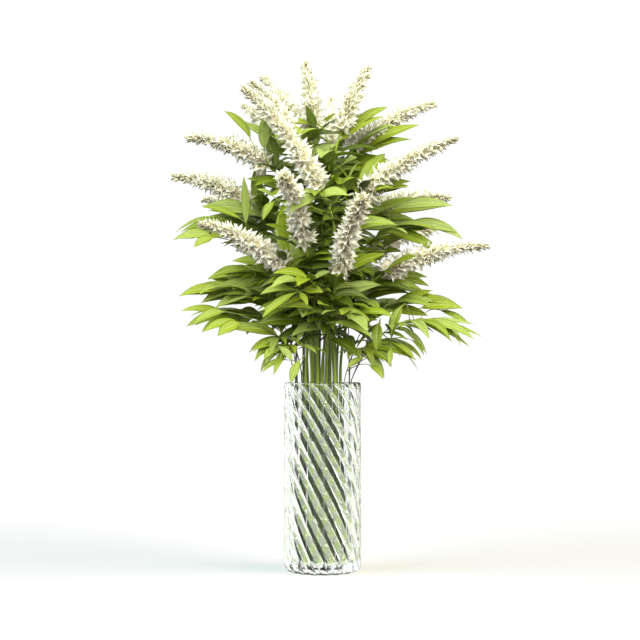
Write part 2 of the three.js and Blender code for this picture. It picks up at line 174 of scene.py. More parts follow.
round_about = blended(tree, mirrored, daylight, panels)
white_ahead = product(tree, straight_view(tree), computed(tree, "SUBTRACT", 1.0, mirrored))
surface = tree.nodes.new("ShaderNodeOutputWorld").inputs["Surface"]
set_socket(tree, surface, blended(tree, white_ahead, round_about, backdrop))

only_bouquet, only_plants, only_floor = [
    bpy.data.collections.new(name) for name in ("only_bouquet", "only_plants", "only_floor")
]
for receivers, state in ((only_bouquet, "EXCLUDE"), (only_plants, "EXCLUDE"), (only_floor, "INCLUDE")):
    receivers.objects.link(floor)
    receivers.collection_objects[0].light_linking.link_state = state


def add_sun(name, direction, strength, colour, spread, receivers):
    """Even daylight that shines from this direction, is spread over this many degrees, and reaches only the
    receivers."""
    sun = bpy.data.objects.new(name, bpy.data.lights.new(name, "SUN"))
    sun.data.energy = strength
    sun.data.color = colour
    sun.data.angle = np.radians(spread)
    sun.rotation_euler = Vector(direction).to_track_quat("Z", "Y").to_euler()
    scene.collection.objects.link(sun)
    sun.light_linking.receiver_collection = receivers


LEFT, RIGHT = (-1.0, -0.40, 0.55), (1.0, -0.40, 0.55)
WARM_WHITE = (1.0, 1.0, 0.97)
add_sun("sun_above", (-0.05, -0.5, 1.0), 2.9, WARM_WHITE, 60, only_bouquet)
add_sun("sun_front", (0.1, -1.0, 0.6), 4.8, WARM_WHITE, 60, only_bouquet)
add_sun("sun_behind", (0.2, 1.0, 0.5), 2.0, WARM_WHITE, 60, only_plants)
add_sun("sun_left", LEFT, 3.2, (0.84, 0.93, 1.0), 50, only_bouquet)
add_sun("sun_right", RIGHT, 3.2, (1.0, 0.95, 0.84), 50, only_bouquet)
add_sun("floor_left", LEFT, 3.6, (0.50, 0.55, 1.0), 50, only_floor)
add_sun("floor_right", RIGHT, 3.8, (1.0, 0.67, 0.73), 50, only_floor)

# ---- The vase ----
# One piece of clear pressed glass: a straight cylinder with a thick floor, whose outside is pressed into
# eighteen rounded lobes that wind down to the right. The grooves between them are flat, and the rim is cut.

VASE_HEIGHT = 300.0
VASE_RADIUS = 61.5
GROOVE_DEPTH = 3.6
BORE_RADIUS = 54.5
FLOOR_THICKNESS = 16.0
FLUTES = 18
VASE_TWIST = 165.0
TWIST_EASE = 0.85
LOBE_AT_FOOT = 0.70
LOBE_LOSS = 0.24
FOOT_ROUND = (10.0, 11.0)  # across and up
RIM_ROUND = 2.4
RIM_STEP = 0.8
LIP_ROUND = 2.0
FILLET = 7.0
UNDERSIDE = [44.0, 0.6]  # reach and height of the shallow hollow under the foot
DISH = [[34.5, 15.2], [12.0, 14.6]]  # reach and height of two rings of the dished floor inside
DISH_BOTTOM = 14.5
WALL_ROWS = 64
ROUND_ROWS = 7
VASE_AROUND = 360
# Where the painted reflection lies: a pale veil on the outer lobes that stands in for the glass's bands of
# reflected light.
REFLECTION_EDGE = (0.03, 0.06)  # shares of a flute, inwards from the edge of a lobe
REFLECTION_SIDE = (0.0560, 0.0565)  # metres from the axis, between the bore and the grooves
REFLECTION_FOOT = (0.014, 0.024)  # metres above the foot
MM = 0.001


def tube_faces(rows, around):
    """Faces of a closed tube: a pole, then rows of points that run anticlockwise about the path, then a pole.
    Point k of row r is number 1 + r * around + k. Quads join the rows, and triangles close each end."""
    k = np.arange(around)
    after = (k + 1) % around
    row = 1 + around * np.arange(rows - 1)[:, None]
    quads = np.stack([row + k, row + after, row + around + after, row + around + k], -1).reshape(-1, 4)
    last = 1 + around * (rows - 1)
    first_fan = np.stack([0 * k, 1 + after, 1 + k], -1)
    last_fan = np.stack([last + k, last + after, 0 * k + 1 + rows * around], -1)
    return quads, np.concatenate([first_fan, last_fan])


def make_piece(name, stacks, finishes):
    """One object at the origin from stacks of like shapes. A stack holds places (count x points x 3, in
    millimetres), the faces of one shape, paint (count x points x 4) and the number of its finish."""
    places, faces, paints, slots = [], [], [], []
    start = 0
    for points, shape_faces, paint, slot in stacks:
        count, size, _ = points.shape
        offsets = start + size * np.arange(count)[:, None, None]
        for polygons in shape_faces:
            numbered = (polygons[None] + offsets).reshape(-1, polygons.shape[1])
            faces += numbered.tolist()
            slots.append(np.full(len(numbered), slot))
        places.append(points.reshape(-1, 3))
        paints.append(paint.reshape(-1, 4))
        start += count * size
    mesh = bpy.data.meshes.new(name)
    mesh.from_pydata((np.concatenate(places) * MM).tolist(), [], faces)
    paint_layer = mesh.attributes.new("paint", "FLOAT_COLOR", "POINT")
    paint_layer.data.foreach_set("color", np.concatenate(paints).astype(np.float32).ravel())
    mesh.polygons.foreach_set("material_index", np.concatenate(slots))
    mesh.polygons.foreach_set("use_smooth", np.ones(len(faces), bool))
    for finish in finishes:
        mesh.materials.append(finish)
    piece = bpy.data.objects.new(name, mesh)
    scene.collection.objects.link(piece)
    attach(piece, "root")
    return piece


def rounded(start, end, corner):
    """Points of a quarter of an ellipse from start to end, whose tangents there meet at the corner."""
    start, end, corner = np.array([start, end, corner], float)
    t = np.linspace(0, np.pi / 2, ROUND_ROWS + 2)[1:-1, None]
    return corner + (start - corner) * (1 - np.sin(t)) + (end - corner) * (1 - np.cos(t))


def fluted_glass():
    """The vase's profile (radius, height) carried round its axis. A lobe takes a share of each flute, 0.46 at
    the rim and 0.70 at the foot, and stands at (1 - v^4)^0.5 of the groove's depth, where v runs from -1 to 1
    over it. The rest is a flat groove. Each point is turned by the twist times (share below the rim)^0.85."""
    outer, bore, base = VASE_RADIUS, BORE_RADIUS, FLOOR_THICKNESS
    side_top, bore_end = VASE_HEIGHT - RIM_ROUND, base + FILLET
    outside = np.concatenate([
        [[outer - FOOT_ROUND[0], 0]],
        rounded([outer - FOOT_ROUND[0], 0], [outer, FOOT_ROUND[1]], [outer, 0]),
        np.linspace([outer, FOOT_ROUND[1]], [outer, side_top], WALL_ROWS),
        rounded([outer, side_top], [outer - RIM_ROUND, VASE_HEIGHT], [outer, VASE_HEIGHT]),
    ])
    lip = rounded([bore + LIP_ROUND, VASE_HEIGHT], [bore, VASE_HEIGHT - LIP_ROUND], [bore, VASE_HEIGHT])
    profile = np.concatenate([
        [UNDERSIDE],
        outside,
        [[outer - RIM_ROUND - RIM_STEP, VASE_HEIGHT]],
        lip,
        np.linspace([bore, side_top], [bore, bore_end], WALL_ROWS),
        rounded([bore, bore_end], [bore - FILLET, base], [bore, base]),
        DISH,
    ])
    row = np.arange(len(profile))[:, None]
    on_outside = (row >= 1) & (row <= len(outside))
    angle = 2 * np.pi * np.arange(VASE_AROUND) / VASE_AROUND
    radius, z = profile[:, :1], profile[:, 1:] + 0 * angle
    turn = angle + np.radians(VASE_TWIST) * np.clip(1 - z / VASE_HEIGHT, 0, 1) ** TWIST_EASE
    off_centre = np.abs((FLUTES * angle / (2 * np.pi)) % 1 - 0.5) * 2
    v = np.clip(off_centre / (LOBE_AT_FOOT - LOBE_LOSS * z / VASE_HEIGHT), 0, 1)
    radius = radius - on_outside * GROOVE_DEPTH * (1 - (1 - v**4) ** 0.5)
    rings = np.stack([radius * np.cos(turn), radius * np.sin(turn), z], -1).reshape(-1, 3)
    points = np.concatenate([[[0, 0, UNDERSIDE[1]]], rings, [[0, 0, DISH_BOTTOM]]])[None]
    return points, tube_faces(len(profile), VASE_AROUND), np.zeros((1, points.shape[1], 4)), 0


def noise(tree, scale, detail, place=None, roughness=0.5):
    """Cloudy values, by the piece's own coordinates where no other place is given."""
    if place is None:
        place = tree.nodes.new("ShaderNodeTexCoord").outputs["Object"]
    inputs = {"Vector": place, "Scale": scale, "Detail": detail, "Roughness": roughness}
    return add_node(tree, "ShaderNodeTexNoise", inputs)


clear_glass, tree, surface = new_finish("clear_glass")
glass = add_node(
    tree,
    "ShaderNodeBsdfPrincipled",
    {"Base Color": (0.985, 0.996, 0.988), "Roughness": 0.0, "IOR": 1.5, "Transmission Weight": 1.0},
)
# The painted reflection, a pale satin veil that stands in for the glass's bands of reflected light, lies on
# the outer side of the lobes, which are found by the same formula as in the mesh.
glass_place = tree.nodes.new("ShaderNodeTexCoord").outputs["Object"]
x, y, height = add_node(tree, "ShaderNodeSeparateXYZ", {0: glass_place}).outputs
azimuth = computed(tree, "ARCTAN2", y, x)
from_rim = ranged(tree, height, VASE_HEIGHT * MM, 0.0)
wind = product(tree, computed(tree, "POWER", from_rim, TWIST_EASE), np.radians(VASE_TWIST))
flute = product(tree, computed(tree, "SUBTRACT", azimuth, wind), FLUTES / (2 * np.pi))
off_centre = computed(tree, "SUBTRACT", computed(tree, "FLOORED_MODULO", flute, 1.0), 0.5)
lobe = ranged(tree, from_rim, 0.0, 1.0, (LOBE_AT_FOOT - LOBE_LOSS) / 2, LOBE_AT_FOOT / 2)
inward = computed(tree, "SUBTRACT", lobe, computed(tree, "ABSOLUTE", off_centre))
squares = computed(tree, "ADD", product(tree, x, x), product(tree, y, y))
on_lobe = ranged(tree, inward, *REFLECTION_EDGE)
outside = ranged(tree, computed(tree, "POWER", squares, 0.5), *REFLECTION_SIDE)
above_foot = ranged(tree, height, *REFLECTION_FOOT)
streaks = ranged(tree, noise(tree, 160.0, 2.0, glass_place), 0.35, 0.65, 0.27, 0.35)
painted_reflection = product(tree, on_lobe, outside, above_foot, streaks)
# The painted reflection is greener by turns in a wavering lattice, painted as where the back wall's flutes
# are seen crossing those in front.
crossing = product(tree, computed(tree, "ADD", azimuth, wind), FLUTES)
waver = product(tree, noise(tree, 22.0, 1.0, glass_place), 7.0)
crossed = computed(tree, "COSINE", computed(tree, "ADD", crossing, waver))
painted_reflection_colour = mixed(tree, ranged(tree, crossed, -0.3, 0.3), (0.66, 0.80, 0.38), (0.62, 0.68, 0.54))
painted_reflection_front = add_node(tree, "ShaderNodeBsdfDiffuse", {"Color": painted_reflection_colour})
painted_reflection_back = add_node(tree, "ShaderNodeBsdfTranslucent", {"Color": painted_reflection_colour})
# The painted reflection is a pale sheet, partly diffuse and partly translucent, laid over the clear glass.
glass_and_painted_reflection = blended(tree, painted_reflection, glass, blended(tree, 0.2, painted_reflection_front, painted_reflection_back))
shade = add_node(tree, "ShaderNodeBsdfTransparent", {"Color": (0.28, 0.30, 0.25)})
in_shadow = add_node(tree, "ShaderNodeLightPath").outputs["Is Shadow Ray"]
set_socket(tree, surface, blended(tree, in_shadow, glass_and_painted_reflection, shade))

vase = make_piece("vase_glass", [fluted_glass()], [clear_glass])
vase.data.set_sharp_from_angle(angle=np.radians(24))
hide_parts("vase")
only_plants.objects.link(vase)
only_plants.collection_objects[1].light_linking.link_state = "EXCLUDE"

# ---- The flower stems ----
# Cut green stems that stand on the vase's floor, rise through its neck and fan out. Each carries single
# lance-shaped leaves on a spiral, folded along the midrib, with veins that run beside the margins.

SPIKES = [
    ((-28, 10, 813), (-12, 5, 708), (-110, 62, 72)),
    ((72, -20, 801), (30, -15, 702), (-10, 44, 86)),
    ((-122, -120, 751), (-5, -95, 604), (-60, 40, 84)),
    ((-113, -30, 776), (-37, -25, 677), (-130, 40, 80)),
    ((-99, 60, 800), (-32, 40, 702), (-60, 60, 76)),
    ((-134, 120, 763), (-60, 75, 682), (172, 46, 114)),
    ((14, 150, 780), (19, 85, 683), (-60, 50, 88)),
    ((183, 40, 752), (51, 20, 675), (-14, 37, 114)),
    ((209, -70, 680), (66, -60, 598), (215, 64, 76)),
    ((212, 90, 603), (74, 50, 571), (-6, 32, 112)),
    ((60, -240, 571), (24, -120, 469), (-20, 40, 86)),
    ((-57, -235, 603), (-28, -115, 520), (-140, 36, 84)),
    ((-215, -20, 688), (-88, -20, 645), (-110, 74, 94)),
    ((-246, 50, 635), (-118, 35, 592), (-90, 78, 74)),
    ((-204, 160, 608), (-100, 85, 564), (190, 30, 104)),
    ((-187, -130, 543), (-65, -95, 484), (-165, 24, 92)),
    ((-150, 220, 530), (-78, 130, 499), (150, 40, 92)),
    ((185, 160, 553), (89, 85, 518), (20, 40, 96)),
    ((261, -30, 516), (99, -25, 474), (-50, 34, 90)),
    ((70, 240, 640), (35, 130, 575), (50, 46, 96)),
]
SPIKE_BOW = 0.12
BUNCH_RADIUS = 40.0
BUNCH_SPREAD = 80.0
FOOT_SPREAD = 1.3
WIDEST_FOOT = 48.0
SEAT_GAP = 0.3
STEM_PULL = 0.35
STEM_CHORDS = 5
TALLEST = 800.0
STEM_AROUND = 12
STEM_ROWS = 44
ALONG_STEM = np.linspace(0, 1, STEM_ROWS)
PATH_STEPS = 400
HALF_BEND = 12.5
LEAVES_PER_FLOWER_STEM = 8
INNER_LEAVES = 16
LEAF_SPIRAL = 137.5
LEAF_WIDTH_SHARE = 0.27
PETIOLE_SHARE = 0.07
LIGHT_TILT = np.radians(62)
TOP_LEAF_TILT = 0.8
TIP_REACH = 0.2
NUDGES = np.radians([0, 18, -18, 36, -36, 56, -56, 78, -78, 104, -104])
OUTLINE_POWERS = 0.8, 1.1
BLADE_ROWS = 17
BLADE_ACROSS = np.array([1, 0.74, 0.42, 0.13, 0, -0.13, -0.42, -0.74, -1])
UP = np.array([0.0, 0.0, 1.0])


def scatter(n):
    """Even draws from 0 to 1: the part after the point of n times the golden share."""
    return (n * 0.6180339887) % 1


def heading(angle):
    """Level unit vectors at these angles from +X."""
    return np.stack([np.cos(angle), np.sin(angle), 0 * angle], -1)


def unit(v):
    """Vectors of length one."""
    return v / np.linalg.norm(v, axis=-1, keepdims=True)


def turned(angle, first, second):
    """The vectors at these angles from first towards second: first cos(angle) + second sin(angle)."""
    angle = np.asarray(angle)[..., None]
    return np.cos(angle) * first + np.sin(angle) * second


def bezier(controls, t):
    """Points on the Bezier curve of these controls: each control weighs binomial * t^i * (1 - t)^(n - i)."""
    n = len(controls) - 1
    binomials = {2: (1, 2, 1), 3: (1, 3, 3, 1)}[n]
    t = np.asarray(t, float)[..., None]
    return sum(b * t**i * (1 - t) ** (n - i) * controls[i] for i, b in enumerate(binomials))


def on_chords(rise, share):
    """The point at this share along the chords that the solid stem follows."""
    low = min(STEM_CHORDS - 1, int(share * STEM_CHORDS))
    ends = bezier(rise, np.array([low, low + 1]) / STEM_CHORDS)
    return ends[0] + (ends[1] - ends[0]) * (share * STEM_CHORDS - low)


def spike_axis(tip, neck):
    """Controls of a spike's axis: neck, a middle raised by the bow times the chord, and tip."""
    tip, neck = np.array(tip, float), np.array(neck, float)
    return np.array([neck, (neck + tip) / 2 + UP * SPIKE_BOW * np.linalg.norm(tip - neck), tip])


def flower_rise(axis):
    """Controls of a flower stem above the rim: upright at the rim, in line with its spike at the neck. The
    rim's place is the neck's, drawn in to the bunch radius times 1 - e^(-reach / spread)."""
    neck = axis[0]
    reach = np.hypot(neck[0], neck[1])
    rim = neck * BUNCH_RADIUS * (1 - np.exp(-reach / BUNCH_SPREAD)) / reach
    rim[2] = VASE_HEIGHT
    pull = STEM_PULL * np.linalg.norm(neck - rim)
    along = unit(axis[1] - neck)
    top = neck - along * SEAT_GAP
    return np.array([rim, rim + UP * pull, top - along * pull, top])


def between(at, known, points):
    """Points at these places, on straight lines between the points that stand at the known places."""
    return np.stack([np.interp(at, known, points[:, i]) for i in range(3)], -1)


def stem_path(rise, foot_ring):
    """Evenly spaced points from a foot on the vase's floor, this far from its axis, straight to the rim and
    along the rise. The bend at the rim is rounded off by a running mean over 25 mm."""
    foot = rise[0] * foot_ring / np.hypot(*rise[0][:2])
    foot[2] = FLOOR_THICKNESS + SEAT_GAP
    raw = np.concatenate([np.linspace(foot, rise[0], 12)[:-1], bezier(rise, np.linspace(0, 1, 80))])
    far = np.concatenate([[0], np.cumsum(np.linalg.norm(np.diff(raw, axis=0), axis=1))])
    step = np.arange(PATH_STEPS)
    points = between(np.linspace(0, far[-1], PATH_STEPS), far, raw)
    half = max(1, int(HALF_BEND / (far[-1] / PATH_STEPS)))
    padded = np.concatenate([np.repeat(points[:1], half, 0), points, np.repeat(points[-1:], half, 0)])
    window = np.ones(2 * half + 1) / (2 * half + 1)
    calm = np.stack([np.convolve(padded[:, i], window, "valid") for i in range(3)], -1)
    ease = np.clip(np.minimum(step, step[::-1]) / half, 0, 1)[:, None]
    return between(np.linspace(0, PATH_STEPS - 1, STEM_ROWS), step, points + (calm - points) * ease)


def swept(path, radius, around):
    """Rings of the given radii about a path, each square to it. The side vector is level and square to the
    path's chord, and the other one is the tangent crossed with it."""
    tangent = unit(np.gradient(path, axis=0))
    chord = path[-1] - path[0]
    side = heading(np.arctan2(chord[1], chord[0]) + np.pi / 2)
    over = unit(np.cross(tangent, side))
    side = np.cross(over, tangent)
    angle = 2 * np.pi * np.arange(around) / around
    return path[:, None] + radius[:, None, None] * turned(angle, side[:, None], over[:, None])


def stalk(path, radius, around, tone):
    """A closed stem along a path. Its paint is (share round, height over 800 mm, share along, tone)."""
    rings = swept(path, radius, around)
    rows = len(path)
    points = np.concatenate([path[:1], rings.reshape(-1, 3), path[-1:]])[None]
    paint = np.zeros(points.shape[:2] + (4,))
    paint[0, 1:-1, 0] = np.tile(np.abs(np.linspace(-1, 1, around, endpoint=False)), rows)
    paint[..., 1] = points[..., 2] / TALLEST
    paint[0, 1:-1, 2] = np.repeat(np.linspace(0, 1, rows), around)
    paint[..., 3] = tone
    return points, tube_faces(rows, around), paint, 1


def midribs(leaves, s):
    """Midribs of leaves at the shares s, with their level-across and upright-flat vectors. The slope falls
    evenly from lift by droop, so a midrib is an arc: out by L (sin lift - sin slope) / droop and up by
    L (cos slope - cos lift) / droop. A leaf is a row of root x, y, z, angle, length, lift, droop and tilt."""
    root, (angle, length, lift, droop) = leaves[:, None, :3], leaves[:, 3:7].T[..., None]
    slope = lift - droop * s
    out = heading(angle[:, 0])[:, None]
    run = (length * (np.sin(lift) - np.sin(slope)) / droop)[..., None]
    climb = (length * (np.cos(slope) - np.cos(lift)) / droop)[..., None]
    flat = turned(slope, UP, -out)
    across = heading(angle[:, 0] + np.pi / 2)[:, None]
    return root + out * run + UP * climb, across, flat


def leaf_outline(s):
    """Half-width as a share of the widest: u^0.8 (1 - u)^1.1 over its peak, where u runs from the petiole's
    end to the point."""
    u = np.clip((s - PETIOLE_SHARE) / (1 - PETIOLE_SHARE), 0, 1)
    rising, falling = OUTLINE_POWERS
    peak = rising / (rising + falling)
    return u**rising * (1 - u) ** falling / (peak**rising * (1 - peak) ** falling)


def standing_leaves(node, rows):
    """Keeps the leaves that the solid node holds, each turned by the nudge that puts its point on one of the
    node's own points. Returns them with the numbers of the rows kept."""
    corners = np.array([v.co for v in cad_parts[node].data.vertices]) / MM
    tried = np.repeat(rows[:, None], len(NUDGES), 1)
    tried[..., 3] += NUDGES
    tips = midribs(tried.reshape(-1, 8), np.array([1.0]))[0].reshape(len(rows), len(NUDGES), 3)
    away = np.array([[np.min(np.linalg.norm(corners - tip, axis=1)) for tip in line] for line in tips])
    kept = np.flatnonzero(away.min(1) < TIP_REACH)
    return tried[kept, away[kept].argmin(1)], kept


def blades(leaves, shift, tones, slim, seed):
    """Closed thin blades. Across the leaf, u runs from 1 to -1 over the top and back beneath. The top stands
    at w (0.2 |u| + 0.1 sin(pi |u|)) over the midrib, where w is the half-width, with a shallow wave towards
    the margins. The underside lies up to 0.5 mm lower, with a rib in the middle. The root moves by shift,
    which fades along the leaf, and slim scales the widths. Paint is (share across, share along, underside,
    tone)."""
    count = len(leaves)
    s = np.linspace(0, 1, BLADE_ROWS + 1)[:-1] ** 0.9
    spot, across, flat = midribs(leaves, s)
    spot = spot + shift[:, None] * ((1 - s) ** 3)[:, None]
    number = np.arange(count) + seed * 17
    turn = (scatter(number * 3 + 1) - 0.5)[:, None] * (s - 0.25)
    roll = (LIGHT_TILT * leaves[:, 7] * np.cos(leaves[:, 3]))[:, None] + turn
    side = turned(roll, across, flat)[:, :, None]
    normal = turned(roll, flat, -across)[:, :, None]
    half = 0.5 * (leaves[:, 4] * slim)[:, None] * LEAF_WIDTH_SHARE * leaf_outline(s)
    half = np.maximum(half, 1.0 - 0.35 * s)[:, :, None]
    u = np.concatenate([BLADE_ACROSS, BLADE_ACROSS[-2:0:-1]])
    beneath = np.arange(len(u)) >= len(BLADE_ACROSS)
    edge = np.abs(u)
    waves = 0.05 * np.sin(9 * s + 6.28 * scatter(number)[:, None])[:, :, None] * edge**2
    rise = half * (0.2 * edge + 0.1 * np.sin(np.pi * edge) + waves)
    rib = 0.35 * np.exp(-((u / 0.1) ** 2))
    rise = rise - beneath * (0.18 + 0.3 * (1 - edge) + rib * (1 - s)[:, None])
    rings = spot[:, :, None] + side * (half * u)[..., None] + normal * rise[..., None]
    point = midribs(leaves, np.array([1.0]))[0]
    points = np.concatenate([spot[:, :1], rings.reshape(count, -1, 3), point], 1)
    parts = np.stack(np.broadcast_arrays(0.5 + 0.5 * u, s[:, None], beneath), -1).reshape(-1, 3)
    paint = np.zeros(points.shape[:2] + (4,))
    paint[..., :3] = np.concatenate([[[0.5, 0, 0]], parts, [[0.5, 1, 0]]])
    paint[..., 3] = tones[:, None]
    return points, tube_faces(BLADE_ROWS, len(u)), paint, 0


def flower_stem_leaves(rise, k, top):
    """The CAD's leaves of a flower stem as rows, from its neck down, with their shares of the rise."""
    rank = np.arange(LEAVES_PER_FLOWER_STEM)
    up = 1 - rank / (LEAVES_PER_FLOWER_STEM - 1)
    share = 0.45 + 0.5 * up
    length = 78 + 26 * scatter(k * 3 + rank * 5)
    lift = np.radians(20 + 28 * up)
    droop = np.radians(38 + 30 * scatter(k * 7 + rank))
    tilt = scatter(k + rank * 2.0)
    length[0], lift[0], droop[0], tilt[0] = top[2], np.radians(top[1]), np.radians(30), TOP_LEAF_TILT
    angle = np.radians(top[0] + LEAF_SPIRAL * rank)
    root = np.array([on_chords(rise, x) for x in share])
    return np.column_stack([root, angle, length, lift, droop, tilt]), share


def inner_leaves(rise, k, top):
    """Smaller leaves between the main ones, with which the bunch's inside is filled."""
    rank = np.arange(INNER_LEAVES)
    share = 0.97 - 0.04 * rank
    angle = np.radians(top[0] + 70 + LEAF_SPIRAL * rank)
    length = 58 + 32 * scatter(k * 5 + rank * 3.0)
    lift = np.radians(44 - 3.0 * rank)
    droop = np.radians(34 + 34 * scatter(k * 2 + rank * 7.0))
    tilt = 0.3 + 0.7 * scatter(k * 9 + rank * 4.0)
    return np.column_stack([bezier(rise, share), angle, length, lift, droop, tilt])


# Leaves that are placed one by one, by the number of their stem, in millimetres: share of the stem's rise,
# the leaf's point, droop in degrees, and slimness.
SINGLE_LEAVES = {
    1: [(0.98, (-52, -40, 706), 90, 1.3), (0.82, (4, -60, 650), 76, 1.4), (0.86, (34, -30, 664), 40, 1.5)],
    2: [(0.97, (92, 20, 738), 24, 1.2), (0.75, (54, -75, 651), 60, 1.4)],
    3: [(0.98, (38, -130, 592), 44, 1.3), (0.95, (-46, -135, 572), 54, 1.2)],
    4: [(0.9, (-104, -50, 700), 30, 1.0), (0.93, (22, -20, 678), 40, 1.6)],
    8: [
        (0.99, (158, 10, 715), 20, 1.0), (0.96, (144, -5, 689), 24, 1.0), (1.0, (111, -40, 706), 40, 1.0),
        (0.86, (112, 10, 656), 36, 1.2), (0.8, (96, 0, 638), 30, 1.3),
    ],
    9: [
        (0.99, (140, -40, 618), 26, 1.0), (0.96, (110, -80, 604), 46, 1.0), (0.9, (128, -20, 640), 40, 1.1),
        (0.97, (100, -10, 666), 30, 1.2), (0.93, (120, -20, 648), 24, 1.1),
    ],
    10: [(0.9, (150, 20, 562), 34, 1.0), (0.98, (206, 60, 588), 24, 0.7), (0.86, (168, 10, 545), 36, 1.1)],
    13: [
        (0.82, (-80, -70, 592), 20, 1.3), (0.9, (-106, -60, 608), 30, 1.2), (0.85, (-92, 10, 598), 30, 1.5),
    ],
    14: [
        (0.88, (-193, 0, 581), 26, 1.1), (0.92, (-96, -30, 600), 24, 1.3), (0.87, (-64, 30, 604), 24, 1.7),
        (0.93, (-92, 30, 622), 24, 1.7), (0.86, (-84, -50, 578), 30, 1.3),
    ],
    15: [
        (0.97, (-234, 60, 545), 50, 0.6), (0.92, (-230, 50, 534), 40, 1.1), (0.93, (-113, 75, 537), 30, 1.6),
        (0.8, (-109, 40, 541), 20, 1.6), (0.9, (-66, -60, 562), 24, 1.4),
    ],
    16: [(0.86, (-60, -30, 590), 20, 1.3)],
}


def leaf_to(root, point, droop):
    """The leaf row whose arc runs from root to point: the chord's slope is lift - droop / 2 and its length is
    L sin(droop / 2) / (droop / 2)."""
    chord = np.array(point, float) - root
    bend = np.radians(droop)
    span = np.linalg.norm(chord)
    lift = np.arcsin(chord[2] / span) + bend / 2
    length = span * (bend / 2) / np.sin(bend / 2)
    return [*root, np.arctan2(chord[1], chord[0]), length, lift, bend, TOP_LEAF_TILT]


def single_leaves(table, rise, number):
    """Rows and slimness of the single leaves of one stem."""
    mine = table.get(number, [])
    rows = [leaf_to(bezier(rise, share), point, droop) for share, point, droop, _ in mine]
    return np.array(rows).reshape(-1, 8), np.array([line[3] for line in mine])


# Leaves at the front on thin stalks of their own, by the number of their stem, in millimetres: share of the
# stem's rise where the stalk starts, the leaf's foot, its point, droop in degrees, slimness, and tone.
STALKED_LEAVES = {
    2: [
        (0.9, (7, -46, 685), (-12, -60, 708), 50, 1.89, 0.75),
        (0.95, (41, -6, 702), (105, -20, 739), 26, 1.12, 0.8),
    ],
    3: [
        (0.86, (-7, -168, 580), (39, -184, 580), 50, 1.9, 0.97),
        (0.9, (-8, -168, 579), (-48, -190, 552), 60, 1.7, 0.85),
        (0.91, (36, -85, 594), (26, -135, 600), 130, 2.4, 0.6),
    ],
    4: [
        (0.85, (10, -60, 640), (-3, -108, 645), 130, 1.9, 0.7),
        (0.95, (-25, -45, 672), (-35, -100, 680), 130, 2.7, 0.8),
    ],
    9: [
        (0.91, (35, -76, 600), (54, -90, 641), 16, 1.56, 0.85),
        (0.95, (93, -46, 598), (135, -60, 609), 24, 1.08, 0.6),
    ],
    13: [
        (0.71, (-74, -76, 589), (-102, -90, 600), 30, 1.35, 0.55),
        (0.95, (-113, -26, 684), (-156, -40, 729), 44, 1.3, 0.62),
        (0.95, (-92, -46, 666), (-95, -60, 716), 16, 1.43, 0.7),
    ],
}


def stalked_leaves(table, rise, number):
    """Rows, slimness, tones and stalks of these leaves. A stalk is a curve from the stem whose end is in line
    with its leaf, it thins from 0.9 mm to 0.6 mm in radius, and it is green all along."""
    mine = table.get(number, [])
    rows, stalks = [], []
    for share, foot, point, droop, _, tone in mine:
        row = leaf_to(np.array(foot, float), point, droop)
        out = turned(row[5], heading(row[3]), UP)
        start = bezier(rise, share)
        bend = foot - 0.4 * np.linalg.norm(foot - start) * out
        path = bezier(np.array([start, bend, foot]), np.linspace(0, 1, 9))
        points, faces, paint, slot = stalk(path, np.linspace(0.9, 0.6, 9), 6, tone)
        paint[..., 2] = 1.0
        stalks.append((points, faces, paint, slot))
        rows.append(row)
    rows = np.array(rows).reshape(-1, 8)
    return rows, np.array([line[4] for line in mine]), np.array([line[5] for line in mine]), stalks


def foliage(tables, rise, number, own, shift, more, slims, tones, seed):
    """The blades of one stem and the stalks of some of them. Its own leaves are the solid's, with roots that
    move by shift, more stand between them, and the tables give the single and the stalked ones. slims are the
    slimness of the first two kinds. tones are (low, step, first, shade_dim): leaf n has the tone low + (1 -
    low) * scatter(step n + first), times shade_dim for the second kind, which, where it is below 1, darkens
    those leaves as painted shade, and a stalked leaf has a tone of its own."""
    low, step, first, shade_dim = tones
    single, single_slim = single_leaves(tables[0], rise, number)
    stalked, stalked_slim, stalked_tones, stalks = stalked_leaves(tables[1], rise, number)
    leaves = np.concatenate([own, more, single, stalked])
    shifts = np.concatenate([shift, np.zeros((len(leaves) - len(own), 3))])
    slim = np.concatenate([np.repeat(slims, [len(own), len(more)]), single_slim, stalked_slim])
    tone = low + (1 - low) * scatter(np.arange(len(leaves)) * step + first)
    tone[len(own) : len(own) + len(more)] *= shade_dim
    tone[len(leaves) - len(stalked) :] = stalked_tones
    return blades(leaves, shifts, tone, slim, seed), stalks


def painted(tree):
    """The four values of the paint that the mesh carries."""
    paint = add_node(tree, "ShaderNodeAttribute", attribute_name="paint", attribute_type="GEOMETRY").outputs
    parts = add_node(tree, "ShaderNodeSeparateColor", {"Color": paint["Color"]}).outputs
    return parts[0], parts[1], parts[2], paint["Alpha"]


def layered(tree, colour, layers):
    """The colour with others laid over it in turn. A layer is (value, start, end, most, its colour): none of
    it shows where the value is at start, its most at end, and in between by a straight line."""
    for value, start, end, most, over in layers:
        colour = mixed(tree, ranged(tree, value, start, end, 0.0, most), colour, over)
    return colour


def grown(tree, colour, roughness, shine, height, strength, depth):
    """A plant's surface of this colour, where height 1 of the relief stands depth metres over height 0."""
    relief = add_node(tree, "ShaderNodeBump", {"Strength": strength, "Distance": depth, "Height": height})
    inputs = {"Base Color": colour, "Roughness": roughness, "Specular IOR Level": shine, "Normal": relief}
    return add_node(tree, "ShaderNodeBsdfPrincipled", inputs)


